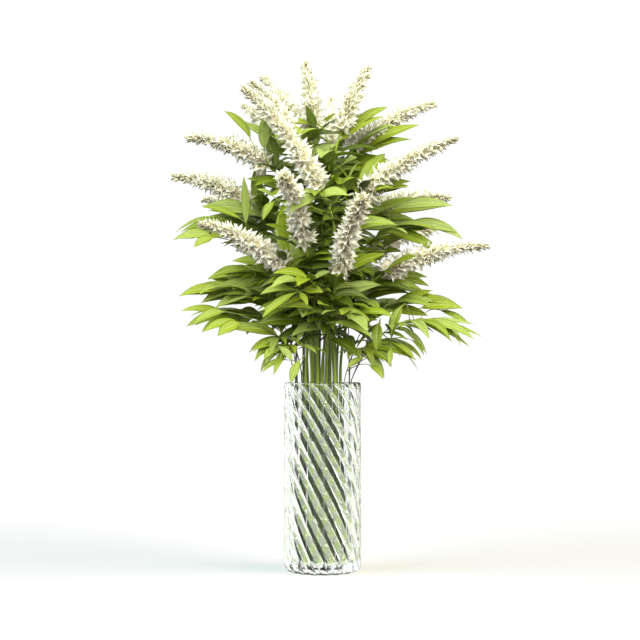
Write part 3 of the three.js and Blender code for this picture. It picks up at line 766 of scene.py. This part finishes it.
leaf_green, tree, surface = new_finish("leaf_green")
across, along, beneath, tone = painted(tree)
from_rib = computed(tree, "ABSOLUTE", computed(tree, "SUBTRACT", across, 0.5))
grain_place = add_node(
    tree,
    "ShaderNodeCombineXYZ",
    {"X": product(tree, across, 13.0), "Y": along, "Z": product(tree, tone, 31.0)},
)
veins = noise(tree, 2.0, 3.0, grain_place, 0.6)
pale_turn = computed(tree, "FRACT", product(tree, tone, 7.0))
green = layered(
    tree,
    mixed(tree, tone, (0.064, 0.125, 0.003), (0.255, 0.315, 0.014)),
    [
        (noise(tree, 28.0, 2.0), 0.35, 0.7, 0.3, (0.200, 0.310, 0.010)),  # patches
        (pale_turn, 0.5, 0.9, 0.6, (0.320, 0.405, 0.130)),  # the paler among the leaves
        (veins, 0.5, 0.7, 0.3, (0.360, 0.450, 0.040)),  # veins
        (veins, 0.48, 0.3, 0.5, (0.060, 0.120, 0.003)),  # the dark between them
        (from_rib, 0.055, 0.02, 0.8, (0.360, 0.430, 0.080)),  # midrib
        (from_rib, 0.44, 0.5, 0.6, (0.380, 0.440, 0.060)),  # painted rim light along the margin
        (along, 0.10, 0.0, 1.0, (0.300, 0.420, 0.040)),  # petiole
        (beneath, 0.2, 0.9, 0.55, (0.260, 0.340, 0.085)),  # underside
        (tone, 0.36, 0.06, 0.9, (0.012, 0.030, 0.001)),  # painted shade on the leaves deep in the bunch
    ],
)
blade = grown(tree, green, 0.42, 0.3, veins, 0.5, 0.0004)
# The light through a leaf follows its tone, so the painted shade of the inner leaves darkens it too.
lit_through = mixed(tree, product(tree, tone, 0.7), green, (0.420, 0.540, 0.012))
glow = add_node(tree, "ShaderNodeBsdfTranslucent", {"Color": lit_through})
set_socket(tree, surface, blended(tree, 0.30, blade, glow))

stem_green, tree, surface = new_finish("stem_green")
round_place, height, _, tone = painted(tree)
fibre_place = add_node(
    tree,
    "ShaderNodeCombineXYZ",
    {"X": product(tree, round_place, 9.0), "Y": product(tree, height, 14.0), "Z": tone},
)
fibres = noise(tree, 1.6, 3.0, fibre_place)
skin = layered(
    tree,
    mixed(tree, tone, (0.034, 0.072, 0.002), (0.280, 0.380, 0.030)),
    [
        (height, 0.4, 0.85, 0.5, (0.280, 0.380, 0.030)),  # lighter green towards the top
        (fibres, 0.42, 0.7, 0.4, (0.340, 0.440, 0.080)),  # fibres
        (height, 0.375, 0.30, 0.95, (0.018, 0.050, 0.001)),  # painted shade where they stand in the vase, below its rim
    ],
)
set_socket(tree, surface, grown(tree, skin, 0.45, 0.25, fibres, 0.5, 0.0003))

axes = [spike_axis(tip, neck) for tip, neck, _ in SPIKES]
for k, (axis, (_, _, top)) in enumerate(zip(axes, SPIKES)):
    node = f"spike_{k + 1:02d}_stem"
    rise = flower_rise(axis)
    rows, share = flower_stem_leaves(rise, k, top)
    own, kept = standing_leaves(node, rows)
    shift = bezier(rise, share[kept]) - rows[kept, :3]
    more = inner_leaves(rise, k, top)
    # The inner leaves' tones are dimmed to 0.36, which gives them the dark green of painted shade.
    tables, tones = (SINGLE_LEAVES, STALKED_LEAVES), (0.38, 7.0, k * 3, 0.36)
    leaves, stalks = foliage(tables, rise, k + 1, own, shift, more, (1.0, 0.85), tones, k)
    path = stem_path(rise, min(FOOT_SPREAD * np.hypot(*rise[0][:2]), WIDEST_FOOT))
    thickness = 3.0 - 1.2 * ALONG_STEM + 0.12 * np.sin(ALONG_STEM * 40 + k)
    stem = make_piece(
        f"flower_stem_{k + 1:02d}",
        [leaves, stalk(path, thickness, STEM_AROUND, scatter(k * 2.0))] + stalks,
        [leaf_green, stem_green],
    )
    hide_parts(node)

# ---- The leafy shoots ----
# Thin woody shoots without flowers that fill in round the flower stems. Fourteen spread above the rim and
# five low ones lean out over it and hang. Their leaves stand in pairs, with one more at the end.

SHOOT_ENDS = [
    (40, -118, 404),
    (62, -52, 352),
    (160, -50, 398),
    (128, -12, 550),
    (142, 12, 430),
    (106, 48, 366),
    (100, 80, 472),
    (90, 150, 430),
    (10, 185, 480),
    (-60, 150, 404),
    (-112, 110, 460),
    (-148, 52, 410),
    (-160, 20, 541),
    (-100, -18, 474),
    (-144, -42, 446),
    (-70, -62, 370),
    (-52, -80, 356),
    (-22, -130, 456),
    (-7, -120, 588),
]
SHOOT_FOOT_RING = 45.0
SHOOT_RING = 43.5
LOW_SHOOT_RING = 50.0
LOW_SHOOT = 400.0
FULL_REACH = 135.0
FIRST_SHOOT_ANGLE = -68.0
LEAF_PAIRS = 5
LEAF_PAIRS_LOW = 4
BETWEEN_LEAVES = 10
BETWEEN_LEAVES_LOW = 6
END_LEAF = 88.0
SHOOT_AROUND = 8


def shoot_rise(end, k):
    """Controls of a shoot above the rim. A low one starts leaning out and ends falling, a high one starts
    upright and ends still rising."""
    end = np.array(end, float)
    low = end[2] < LOW_SHOOT
    out = heading(np.radians(FIRST_SHOOT_ANGLE + 360 * k / len(SHOOT_ENDS)))
    rim = out * (LOW_SHOOT_RING if low else SHOOT_RING) + UP * VASE_HEIGHT
    start = unit(0.5 * out + UP) if low else UP
    slope = np.radians(min(12, 0.6 * (end[2] - LOW_SHOOT)))
    along = turned(slope, heading(np.arctan2(end[1], end[0])), UP)
    span = np.linalg.norm(end - rim)
    return np.array([rim, rim + 0.5 * span * start, end - 0.4 * span * along, end])


def habit(end):
    """The heading of a shoot's end, 1 if it hangs and 0 if not, and the size of its leaves. A hanging shoot's
    leaves are smaller, in proportion, where it reaches out by less than 135 mm."""
    x, y, z = end
    hang = 1 if z < LOW_SHOOT else 0
    return np.arctan2(y, x), hang, min(1, np.hypot(x, y) / FULL_REACH) if hang else 1


def shoot_leaves(rise, k):
    """The CAD's leaves of a shoot as rows, with their shares of the rise: the end leaf, then the pairs."""
    end = unit(rise[3] - rise[2])
    outwards, hang, size = habit(rise[3])
    last = [*(rise[3] - 2 * end), outwards, END_LEAF * size, np.arcsin(end[2]), np.radians(38), TOP_LEAF_TILT]
    pair, way = np.meshgrid(np.arange(LEAF_PAIRS_LOW if hang else LEAF_PAIRS), [1, -1], indexing="ij")
    pair, way = pair.ravel(), way.ravel()
    draw = scatter(k * 5 + pair * 2 + way)
    share = 0.95 - 0.11 * pair + 0.015 * way
    root = np.array([on_chords(rise, x) for x in share])
    angle = outwards + way * np.radians(20 + 16 * draw + 15 * pair)
    lift = np.radians(24.0 + 6 * pair - 18 * hang)
    droop = np.radians(36 + 26 * draw + 8 * hang)
    length = (64 + 24 * draw) * size
    pairs = np.column_stack([root, angle, length, lift, droop, scatter(k + pair * 3 + way)])
    return np.concatenate([[last], pairs]), np.concatenate([[1], share])


# Single leaves of the shoots, in the same form as those of the flower stems.
SINGLE_SHOOT_LEAVES = {
    2: [
        (0.7, (92, -80, 394), 24, 1.2), (0.9, (146, -60, 336), 60, 0.9), (0.95, (108, -70, 325), 70, 0.9),
        (0.8, (96, -70, 308), 60, 0.8),
    ],
    3: [
        (0.99, (238, -60, 392), 20, 0.45), (0.96, (250, -60, 372), 26, 0.4),
        (0.92, (232, -40, 356), 34, 0.36), (0.6, (122, -60, 421), 20, 1.2), (0.7, (163, -50, 345), 50, 0.6),
    ],
    4: [(0.9, (190, -30, 500), 40, 0.9)],
    5: [
        (0.93, (214, 0, 424), 36, 0.8), (0.98, (222, -10, 418), 30, 0.9), (0.86, (180, -20, 428), 40, 1.1),
        (0.8, (176, -10, 447), 22, 0.9), (0.75, (168, -20, 406), 28, 1.0),
    ],
    7: [
        (0.96, (176, 60, 456), 36, 1.0), (0.9, (172, 40, 470), 30, 1.0), (0.85, (168, 0, 440), 24, 1.0),
        (0.62, (141, 10, 443), 30, 1.1), (0.7, (150, 30, 452), 34, 1.0),
    ],
    12: [
        (0.98, (-207, 30, 391), 46, 0.7), (0.93, (-196, 20, 380), 50, 0.8), (0.88, (-168, 0, 374), 50, 0.9),
        (0.8, (-150, 20, 380), 40, 1.2), (0.72, (-122, 0, 376), 40, 1.1),
    ],
    14: [
        (0.95, (-176, -10, 440), 44, 1.1), (0.88, (-156, -20, 424), 50, 1.1),
        (0.9, (-191, -60, 424), 26, 0.9), (0.8, (-168, -70, 416), 26, 0.9), (0.75, (-140, 10, 424), 40, 1.2),
    ],
    15: [
        (0.93, (-182, -20, 467), 40, 0.9), (0.97, (-192, -30, 456), 40, 0.8),
        (0.9, (-214, -50, 438), 44, 1.1), (0.84, (-190, -40, 426), 50, 1.1),
        (0.7, (-150, -60, 432), 24, 1.1), (0.76, (-168, -20, 420), 30, 1.2),
    ],
    16: [(0.92, (-142, -70, 384), 44, 1.0)],
    17: [(0.9, (-96, -70, 316), 66, 0.9)],
}

# Leaves of the shoots at the front on thin stalks, in the same form as those of the flower stems.
STALKED_SHOOT_LEAVES = {
    1: [
        (0.64, (14, -126, 394), (76, -140, 369), 50, 0.79, 0.8),
        (0.84, (13, -110, 405), (-7, -150, 421), 60, 2.0, 0.94),
        (0.87, (16, -126, 407), (72, -140, 395), 54, 1.25, 0.95),
        (0.94, (-8, -126, 411), (-94, -140, 410), 60, 0.7, 0.8),
    ],
    2: [
        (0.22, (72, -66, 329), (94, -80, 306), 50, 1.15, 0.9),
        (0.29, (64, -86, 341), (38, -100, 324), 40, 0.99, 0.8),
        (0.54, (67, -76, 352), (78, -90, 332), 40, 1.4, 0.8),
    ],
    3: [
        (0.28, (106, -76, 355), (103, -90, 326), 40, 1.1, 0.8),
        (0.34, (109, -56, 363), (143, -70, 337), 44, 0.89, 0.93),
        (0.38, (139, -46, 368), (158, -60, 343), 50, 0.68, 0.6),
        (0.45, (87, -96, 395), (82, -110, 350), 50, 1.3, 0.5),
        (0.86, (125, -66, 422), (107, -80, 368), 50, 1.0, 0.45),
        (0.91, (152, -16, 417), (222, -30, 418), 36, 1.08, 0.9),
        (0.95, (184, -16, 416), (233, -30, 392), 24, 0.74, 0.6),
    ],
    4: [
        (0.93, (127, -6, 550), (223, -20, 527), 62, 0.77, 0.85),
        (0.95, (110, -16, 575), (206, -30, 580), 34, 0.88, 0.85),
    ],
    13: [
        (0.83, (-170, -46, 529), (-201, -60, 512), 40, 1.63, 0.94),
        (0.83, (-121, -36, 547), (-124, -50, 626), 10, 0.69, 0.94),
        (0.85, (-172, -26, 532), (-230, -40, 527), 40, 1.27, 0.96),
        (0.89, (-126, -46, 556), (-190, -60, 577), 30, 0.76, 0.6),
        (0.95, (-173, -6, 566), (-234, -20, 538), 36, 0.41, 0.5),
    ],
    15: [
        (0.54, (-157, -56, 413), (-221, -70, 412), 30, 0.85, 0.9),
        (0.85, (-170, -46, 443), (-223, -60, 437), 30, 0.89, 0.8),
        (0.94, (-110, -56, 477), (-175, -70, 464), 44, 0.91, 0.6),
    ],
    16: [
        (0.95, (-150, -76, 411), (-198, -90, 391), 50, 1.27, 0.95),
        (0.95, (-127, -86, 395), (-184, -100, 379), 44, 1.12, 0.9),
        (0.95, (-124, -96, 393), (-160, -110, 373), 40, 1.86, 0.92),
    ],
    17: [
        (0.27, (-34, -114, 337), (-48, -128, 301), 30, 1.25, 0.8),
        (0.33, (-56, -96, 337), (-91, -110, 318), 60, 0.8, 0.6),
        (0.58, (-70, -96, 355), (-89, -110, 337), 50, 1.55, 0.94),
        (0.63, (-67, -106, 358), (-45, -120, 335), 30, 1.29, 0.7),
        (0.67, (-72, -76, 360), (-107, -90, 349), 60, 1.22, 0.93),
    ],
    18: [
        (0.71, (-38, -146, 439), (-91, -160, 399), 30, 0.73, 0.93),
        (0.71, (-35, -151, 439), (-22, -165, 418), 30, 1.35, 0.9),
        (0.73, (-37, -136, 441), (-94, -150, 435), 56, 0.9, 0.95),
        (0.73, (-32, -136, 441), (1, -150, 438), 46, 1.84, 1.0),
        (0.94, (-19, -126, 458), (-75, -140, 467), 56, 1.26, 0.9),
        (0.94, (-16, -121, 458), (12, -135, 470), 40, 1.84, 0.85),
    ],
    19: [(0.88, (-74, -96, 581), (-91, -110, 550), 40, 1.35, 0.6)],
}


def between_leaves(rise, k):
    """Narrower leaves between the pairs of a shoot, which lie closer to its own heading."""
    outwards, hang, size = habit(rise[3])
    rank = np.arange(BETWEEN_LEAVES_LOW if hang else BETWEEN_LEAVES)
    way = 1 - 2 * (rank % 2)
    draw = scatter(k * 4 + rank * 6.0)
    angle = outwards + way * np.radians(8 + 9 * rank * draw)
    length = (50 + 30 * scatter(k * 8 + rank * 5.0)) * size
    lift = np.radians(18 + 3.0 * rank - 20 * hang)
    droop = np.radians(34 + 30 * draw)
    tilt = 0.3 + 0.7 * scatter(k * 3 + rank * 2.0)
    return np.column_stack([bezier(rise, 0.98 - 0.55 * rank / len(rank)), angle, length, lift, droop, tilt])


shoot_bark, tree, surface = new_finish("shoot_bark")
_, _, along, _ = painted(tree)
flecks = noise(tree, 160.0, 2.0)
bark = layered(
    tree,
    (0.018, 0.016, 0.006),
    [
        (along, 0.6, 1.0, 1.0, (0.150, 0.200, 0.030)),  # still green at the end
        (flecks, 0.5, 0.7, 0.35, (0.140, 0.120, 0.060)),  # flecks
    ],
)
set_socket(tree, surface, grown(tree, bark, 0.55, 0.5, flecks, 0.4, 0.0002))

for k, end in enumerate(SHOOT_ENDS):
    node = f"shoot_{k + 1:02d}"
    rise = shoot_rise(end, k)
    rows, share = shoot_leaves(rise, k)
    own, kept = standing_leaves(node, rows)
    shift = (bezier(rise, share[kept]) - rows[kept, :3]) * (kept > 0)[:, None]
    more = between_leaves(rise, k)
    slims = (0.75, 0.5) if end[2] < LOW_SHOOT else (0.95, 0.7)
    tables, tones = (SINGLE_SHOOT_LEAVES, STALKED_SHOOT_LEAVES), (0.6, 5.0, k * 7 + 2, 1.0)
    leaves, stalks = foliage(tables, rise, k + 1, own, shift, more, slims, tones, k + 40)
    path = stem_path(rise, SHOOT_FOOT_RING)
    thickness = 1.15 - 0.45 * ALONG_STEM
    shoot = make_piece(
        f"leafy_shoot_{k + 1:02d}",
        [leaves, stalk(path, thickness, SHOOT_AROUND, scatter(k * 4.0))] + stalks,
        [leaf_green, shoot_bark],
    )
    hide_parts(node)

# ---- The spikes of bells ----
# Dense tapering spikes of small white bells on a green middle stem. A bell is one thin cup with five pointed
# lobes and a tan throat, whose colour is partly its own and partly painted shade deep in the cup. The lowest
# ones are the oldest, and the tip is closed greenish buds.

BELLS_PER_MM = 0.62
BELL_AROUND = 10  # a lobe's middle at every second step, and a notch between
LOBE_ROW = 4  # the row of the lobes' points
FLOWERS_LIFT = {9: 0.03, 13: 0.09, 14: 0.04, 19: 0.03}  # of the spikes' length, by number
USUAL_LIFT = 0.06

# A bell's rows, up its outside and back down inside, in millimetres: height and radius at a lobe, height and
# radius between lobes, and radius of the shut bud. Then come the share from base to lobe, and 1 for inside.
BELL_PROFILE = np.array([
    [0, 0.9, 0, 0.9, 0.8, 0, 0],
    [1.0, 2.4, 1.0, 2.4, 2.0, 0.1, 0],
    [3.6, 4.2, 3.4, 3.8, 2.5, 0.4, 0],
    [6.8, 5.6, 5.8, 4.5, 1.9, 0.7, 0],
    [11.6, 8.4, 6.2, 4.7, 0.4, 1.0, 0.5],
    [6.4, 5.2, 5.4, 4.1, 1.2, 0.65, 1.0],
    [3.4, 2.8, 3.2, 2.6, 0.8, 0.3, 1.0],
])


def bells(axis, k):
    """Bells on a spiral about the axis, 137.5 degrees from one to the next. Each is the profile carried round
    in ten steps, which come to a point at every second step. A bell's radii lie between those of the shut bud
    and of the open bell. Up the spike, where t runs from 0 to 1, the bells get smaller, by 0.62 t of 1.5,
    close and turn upwards, until they are slim buds, but less so on the spikes that lean to the front. Paint
    is (share from base to lobe, share along the spike, inside, tone)."""
    lobe_height, lobe_radius, notch_height, notch_radius, shut_radius, from_base, inside = BELL_PROFILE.T
    length = np.linalg.norm(axis[2] - axis[0])
    count = int(BELLS_PER_MM * length)
    number = np.arange(count)
    t = ((number + 0.3) / count) ** 1.12 * 0.99
    place = bezier(axis, t)
    tangent = unit(2 * (1 - t)[:, None] * (axis[1] - axis[0]) + 2 * t[:, None] * (axis[2] - axis[1]))
    chord = axis[2] - axis[0]
    side = heading(np.arctan2(chord[1], chord[0]) + np.pi / 2)
    over = np.cross(tangent, side)
    spiral = np.radians(LEAF_SPIRAL) * number + 0.8 * (scatter(number * 3 + k) - 0.5)
    radial = turned(spiral, side, over)
    lean = np.radians(8 + 54 * t**1.5 + 34 * (scatter(number * 11 + k) - 0.5))
    facing = unit(turned(lean, radial, tangent))
    level = unit(np.cross(facing, tangent))
    first = turned(6.28 * scatter(number * 13 + k), level, np.cross(facing, level))
    second = np.cross(facing, first)
    young = np.clip((t - 0.82) / 0.18, 0, 1)
    blunt = np.clip(-chord[1] / length - 0.35, 0, 0.4)
    size = (1.50 - 0.30 * blunt - (0.62 - blunt) * t) * (1 - 0.15 * young)
    size = (size * (0.80 + 0.40 * scatter(number * 17 + k)))[:, None, None]
    open_ = np.clip((0.98 + 0.6 * blunt - t + 0.3 * (scatter(number * 19 + k) - 0.5)) / 0.4, 0, 1)[:, None]
    lobe = shut_radius + (lobe_radius - shut_radius) * open_
    notch = shut_radius + (notch_radius - shut_radius) * open_
    is_lobe = np.arange(BELL_AROUND) % 2 == 0
    angle = 2 * np.pi * np.arange(BELL_AROUND) / BELL_AROUND
    radius = np.where(is_lobe, lobe[..., None], notch[..., None])
    radius = radius * (1 + 0.16 * np.sin(angle + 9 * number[:, None, None]))
    height = np.where(is_lobe, lobe_height[:, None], notch_height[:, None]) + 0 * radius
    height[:, LOBE_ROW] *= 1 + 0.18 * np.sin(2 * angle + 7 * number[:, None])
    spokes = turned(angle, first[:, None], second[:, None])
    start = place + radial * (1.4 + 0.8 * (1 - t))[:, None]
    rings = start[:, None, None] + size[..., None] * (
        height[..., None] * facing[:, None, None] + radius[..., None] * spokes[:, None]
    )
    heart = start + facing * 2.4 * size[:, 0]
    points = np.concatenate([start[:, None], rings.reshape(count, -1, 3), heart[:, None]], 1)
    paint = np.zeros(points.shape[:2] + (4,))
    paint[..., 0] = np.concatenate([[0], np.repeat(from_base, BELL_AROUND), [0.1]])
    paint[..., 1] = t[:, None]
    paint[..., 2] = np.concatenate([[0], np.repeat(inside, BELL_AROUND), [1]])
    paint[..., 3] = scatter(number * 7 + k)[:, None]
    return points, tube_faces(len(BELL_PROFILE), BELL_AROUND), paint, 0


def middle_stem(axis):
    """The pale stem inside a spike, which thins from 2.3 mm to 0.7 mm in radius, painted as a bell's foot."""
    t = np.linspace(0, 0.985, 16)
    points, faces, paint, _ = stalk(bezier(axis, t), 2.3 - 1.6 * t, 8, 0.7)
    paint[..., 0], paint[..., 1] = 0.3, paint[..., 2]
    paint[..., 2] = 0
    return points, faces, paint, 0


petal_white, tree, surface = new_finish("petal_white")
from_base, up_spike, inside, tone = painted(tree)
blotches = noise(tree, 190.0, 2.0)
petal = layered(
    tree,
    mixed(tree, tone, (0.88, 0.87, 0.71), (0.94, 0.935, 0.82)),
    [
        (blotches, 0.5, 0.75, 0.25, (0.95, 0.92, 0.68)),  # blotches
        (up_spike, 0.12, 0.0, 0.4, (0.86, 0.78, 0.64)),  # the oldest bells
        (from_base, 0.35, 0.05, 0.6, (0.70, 0.69, 0.34)),  # the foot of the cup
    ],
)
# The throat, deep inside the cup, is tan: partly its own colour, partly painted shade.
throat = mixed(tree, ranged(tree, from_base, 0.7, 0.25), petal, (0.63, 0.59, 0.33))
petal = mixed(tree, inside, petal, throat)
bud = mixed(tree, ranged(tree, from_base, 0.4, 0.95), (0.40, 0.38, 0.17), (0.94, 0.92, 0.74))
petal = mixed(tree, ranged(tree, up_spike, 0.6, 0.9, 0, 0.9), petal, bud)
silk = grown(tree, petal, 0.6, 0.35, blotches, 0.35, 0.0004)
petal_glow = add_node(tree, "ShaderNodeBsdfTranslucent", {"Color": petal})
set_socket(tree, surface, blended(tree, 0.40, silk, petal_glow))

for k, axis in enumerate(axes):
    lift = FLOWERS_LIFT.get(k + 1, USUAL_LIFT) * np.linalg.norm(axis[2] - axis[0])
    axis = axis + np.outer([0, 1, 0], UP) * lift
    spike = make_piece(f"flower_spike_{k + 1:02d}", [bells(axis, k), middle_stem(axis)], [petal_white])
    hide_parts(f"spike_{k + 1:02d}_bells")
